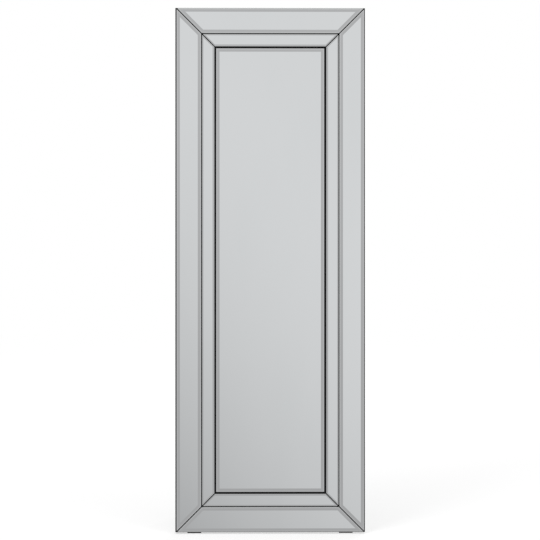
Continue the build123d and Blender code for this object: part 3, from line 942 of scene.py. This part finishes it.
@dataclass
class EaselStrut:
    """The wooden A-frame strut with its screws and rubber pads."""

    wood_round: float = 0.5 * MM
    pad_round: float = 0.5 * MM
    screw_round: float = 0.25 * MM

    def grain_turn(self, node: str, along: Vector) -> Triple:
        """Finds how to turn a wood pattern so that its grain follows a piece.

        Args:
            node: Name of the CAD node.
            along: Rough direction of the piece's length.

        Returns:
            The Euler angles that bring the piece's length onto Z.
        """
        points = [vertex.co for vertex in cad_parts[node].data.vertices]
        far_end = max(points, key=lambda point: point.dot(along))
        near_end = min(points, key=lambda point: point.dot(along))
        length = (far_end - near_end).normalized()
        return tuple(length.rotation_difference(Vector((0, 0, 1))).to_euler())

    def build(self) -> None:
        """Dresses the four pieces of wood and what is fixed to them."""
        upright = Vector((0, 0, 1))
        across = Vector((1, 0, 0))
        lengths = {
            "strut_stile_left": upright,
            "strut_stile_right": upright,
            "strut_top_rail": across,
            "strut_lower_rail": across,
        }
        for node, along in lengths.items():
            wood = StainedWood(node + "_stain", self.grain_turn(node, along)).material()
            refine(node, node + "_wood", Body.STRUT, wood, self.wood_round)
        screws = "strut_frame_screws"
        screw = screw_zinc("strut_screw_zinc")
        refine(screws, screws + "_steel", Body.STRUT, screw, self.screw_round)
        rubber = MouldedRubber("strut_pad_rubber").material()
        for side in HANDS:
            pad = f"strut_foot_pad_{side}"
            refine(pad, pad + "_rubber", Body.STRUT, rubber, self.pad_round, FINE)


@dataclass
class FoldingStay:
    """The two-link stay that stops the strut, with its brackets, rivets and washer."""

    plate_round: float = 0.35 * MM
    rivet_round: float = 0.55 * MM
    screw_round: float = 0.18 * MM

    def build(self) -> None:
        """Dresses every link, bracket and rivet of the stay."""
        arm = ZincPlate("stay_arm_zinc", streak=(1.0, 0.05, 1.0)).material()
        rivet = ZincPlate("rivet_zinc", smoothest=0.26, roughest=0.4).material()
        plate = ZincPlate("bracket_zinc", streak=(1.0, 1.0, 0.05)).material()
        screw = screw_zinc("stay_screw_zinc")
        steel, screws = Slot.ZINC_STEEL, Slot.SCREW_STEEL
        rows = (
            ("stay_frame_bracket", Body.MIRROR, steel, plate, self.plate_round),
            ("stay_frame_screws", Body.MIRROR, screws, screw, self.screw_round),
            ("stay_frame_rivet", Body.MIRROR, steel, rivet, self.rivet_round),
            ("stay_strut_bracket", Body.STRUT, steel, plate, self.plate_round),
            ("stay_strut_screws", Body.STRUT, screws, screw, self.screw_round),
            ("stay_strut_rivet_tail", Body.STRUT, steel, rivet, self.rivet_round),
            ("stay_frame_arm", Body.FRAME_ARM, steel, arm, self.plate_round),
            ("stay_knee_rivet", Body.FRAME_ARM, steel, rivet, self.rivet_round),
            ("stay_knee_washer", Body.FRAME_ARM, steel, plate, self.plate_round),
            ("stay_strut_arm", Body.STRUT_ARM, steel, arm, self.plate_round),
            ("stay_strut_rivet", Body.STRUT_ARM, steel, rivet, self.rivet_round),
        )
        for node, body, slot, material, width in rows:
            refine(node, node + "_steel", body, material, width, FINE)


@dataclass(frozen=True)
class SoftLamp:
    """A soft square lamp that lights the object and doesn't show in the mirror."""

    name: str
    place: Triple
    size: float
    watts: float

    def hang(self, aim: Vector) -> None:
        """Hangs the lamp at its place.

        Args:
            aim: The point that it faces.
        """
        data = bpy.data.lights.new(self.name, "AREA")
        data.size = self.size
        data.energy = self.watts
        lamp = bpy.data.objects.new(self.name, data)
        lamp.location = self.place
        lamp.rotation_euler = (Vector(self.place) - aim).to_track_quat("Z", "Y").to_euler()
        lamp.visible_glossy = False
        bpy.context.scene.collection.objects.link(lamp)


@dataclass
class Studio:
    """Plain white studio: a pale floor, a soft world, three soft lamps and the camera."""

    front: Vector
    middle: Vector
    picture_width: float = 1.5667
    picture_right: float = -0.70 * MM
    picture_up: float = 0.3 * MM
    camera_turn: float = math.radians(3)
    camera_distance: float = 24.0
    nearest_seen: float = 0.1
    farthest_seen: float = 200.0
    sensor: float = 36.0
    floor_radius: float = 4.0
    floor_segments: int = 96
    lamps: tuple[SoftLamp, ...] = (
        SoftLamp("key_lamp", place=(-2.4, -2.8, 3.4), size=2.0, watts=70.0),
        SoftLamp("fill_lamp", place=(2.8, -2.6, 2.4), size=2.4, watts=30.0),
        SoftLamp("rear_lamp", place=(1.2, 3.4, 3.2), size=2.4, watts=60.0),
    )

    def camera(self) -> None:
        """Sets the camera a little to the left of square on, so that the mirror fills the picture."""
        up = self.front.cross(Vector((1, 0, 0)))
        back = Matrix.Rotation(-self.camera_turn, 3, up) @ self.front
        right = up.cross(back)
        data = bpy.data.cameras.new("studio_camera")
        data.sensor_width = self.sensor
        data.lens = self.sensor * self.camera_distance / self.picture_width
        data.clip_start = self.nearest_seen
        data.clip_end = self.farthest_seen
        camera = bpy.data.objects.new("studio_camera", data)
        bpy.context.scene.collection.objects.link(camera)
        aim = self.middle + right * self.picture_right + up * self.picture_up
        camera.location = aim + back * self.camera_distance
        camera.rotation_euler = Matrix((right, up, back)).transposed().to_euler()
        bpy.context.scene.camera = camera

    def floor(self) -> None:
        """Lays the pale floor, which the camera sees as white with the object's shadow on it."""
        shape = bmesh.new()
        bmesh.ops.create_circle(
            shape, cap_ends=True, radius=self.floor_radius, segments=self.floor_segments
        )
        mesh = bpy.data.meshes.new("studio_floor")
        shape.to_mesh(mesh)
        shape.free()
        floor = bpy.data.objects.new("studio_floor", mesh)
        bpy.context.scene.collection.objects.link(floor)
        floor.data.materials.append(PaleFloor().material())

    def build(self) -> None:
        """Sets up the whole studio."""
        bpy.context.scene.view_settings.view_transform = "Standard"
        self.camera()
        for lamp in self.lamps:
            lamp.hang(self.middle)
        self.floor()
        StudioWorld(self.front, self.camera_turn, self.camera_distance).build()
        log.info("the studio is lit")


@dataclass
class StudioWorld:
    """The room around the mirror: white walls, and a grey screen with a pale core behind the camera.

    Levels are brightness, where 1 is white. The core and the screen's bands are measured in metres
    across the face of the mirror, where the camera sees them reflected. There the core darkens
    towards the lower left.
    """

    front: Vector
    camera_turn: float
    camera_distance: float
    fill: float = 0.55
    core: float = 0.755
    core_fall: float = 0.229
    core_start: float = 0.333
    core_slope: float = 0.766
    core_lean: float = 1.1
    core_radius: float = 0.96
    core_edge: float = 1.6
    screen: float = 0.502
    band_swing: float = 0.04
    band_period: float = 2.472
    screen_from: float = 0.9
    screen_to: float = -0.1
    wall_dark: float = 0.55
    wall_light: float = 1.1
    wall_lean: float = 0.6
    wall_from: float = -0.8
    wall_to: float = 0.5

    def room(self, graph: NodeGraph) -> Socket:
        """Builds the brightness of the room by direction, as shiny surfaces see it.

        Args:
            graph: The world under construction.

        Returns:
            The brightness, where 1 is white.
        """
        up = self.front.cross(Vector((1, 0, 0)))
        axis = Matrix.Rotation(self.camera_turn, 3, up) @ self.front
        direction = graph.node("TexCoord").outputs["Generated"]
        across = graph.along(direction, up.cross(axis))
        rise = graph.along(direction, up)
        ahead = graph.along(direction, axis)
        right_m = graph.number("MULTIPLY", across, self.camera_distance)
        up_m = graph.number("MULTIPLY", rise, self.camera_distance)
        diagonal = graph.number("MULTIPLY_ADD", right_m, self.core_lean, up_m)
        fallen = graph.number("MULTIPLY_ADD", diagonal, -self.core_slope, self.core_start)
        squared = graph.number("POWER", graph.number("MAXIMUM", fallen, 0), 2)
        core = graph.number("MULTIPLY_ADD", squared, -self.core_fall, self.core)
        wave = graph.number("SINE", graph.number("MULTIPLY", up_m, 2 * math.pi / self.band_period))
        screen = graph.number("MULTIPLY_ADD", wave, self.band_swing, self.screen)
        light_side = graph.number("MULTIPLY_ADD", across, -self.wall_lean, rise)
        wall = graph.ease(light_side, self.wall_dark, self.wall_light, self.wall_from, self.wall_to)
        around = graph.ease(ahead, screen, wall, self.screen_from, self.screen_to)
        up_squared = graph.number("MULTIPLY", up_m, up_m)
        off_axis = graph.number("SQRT", graph.number("MULTIPLY_ADD", right_m, right_m, up_squared))
        return graph.ease(off_axis, core, around, self.core_radius, self.core_edge)

    def build(self) -> None:
        """Makes the world: white to the camera, the room to shiny surfaces, an even fill otherwise."""
        world = bpy.data.worlds.new("studio_world")
        bpy.context.scene.world = world
        world.use_nodes = True
        graph = NodeGraph(world.node_tree)
        rays = graph.node("LightPath").outputs
        mirrored = graph.number("MAXIMUM", rays["Is Glossy Ray"], rays["Is Transmission Ray"])
        lit = graph.ease(mirrored, self.fill, self.room(graph), start=0, end=1)
        seen = graph.ease(rays["Is Camera Ray"], lit, 1, start=0, end=1)
        background = graph.tree.nodes["Background"]
        background.inputs["Color"].default_value = (1, 1, 1, 1)
        graph.link(seen, background.inputs["Strength"])


def main() -> None:
    """Builds the sub-assemblies in order, then the studio around them."""
    logging.basicConfig(level=logging.INFO, format="%(message)s")
    face = MirrorFace()
    face.build()
    BackBoard().build()
    StrutHinges().build()
    EaselStrut().build()
    FoldingStay().build()
    Studio(face.front, face.middle).build()


if __name__ == "__main__":
    main()
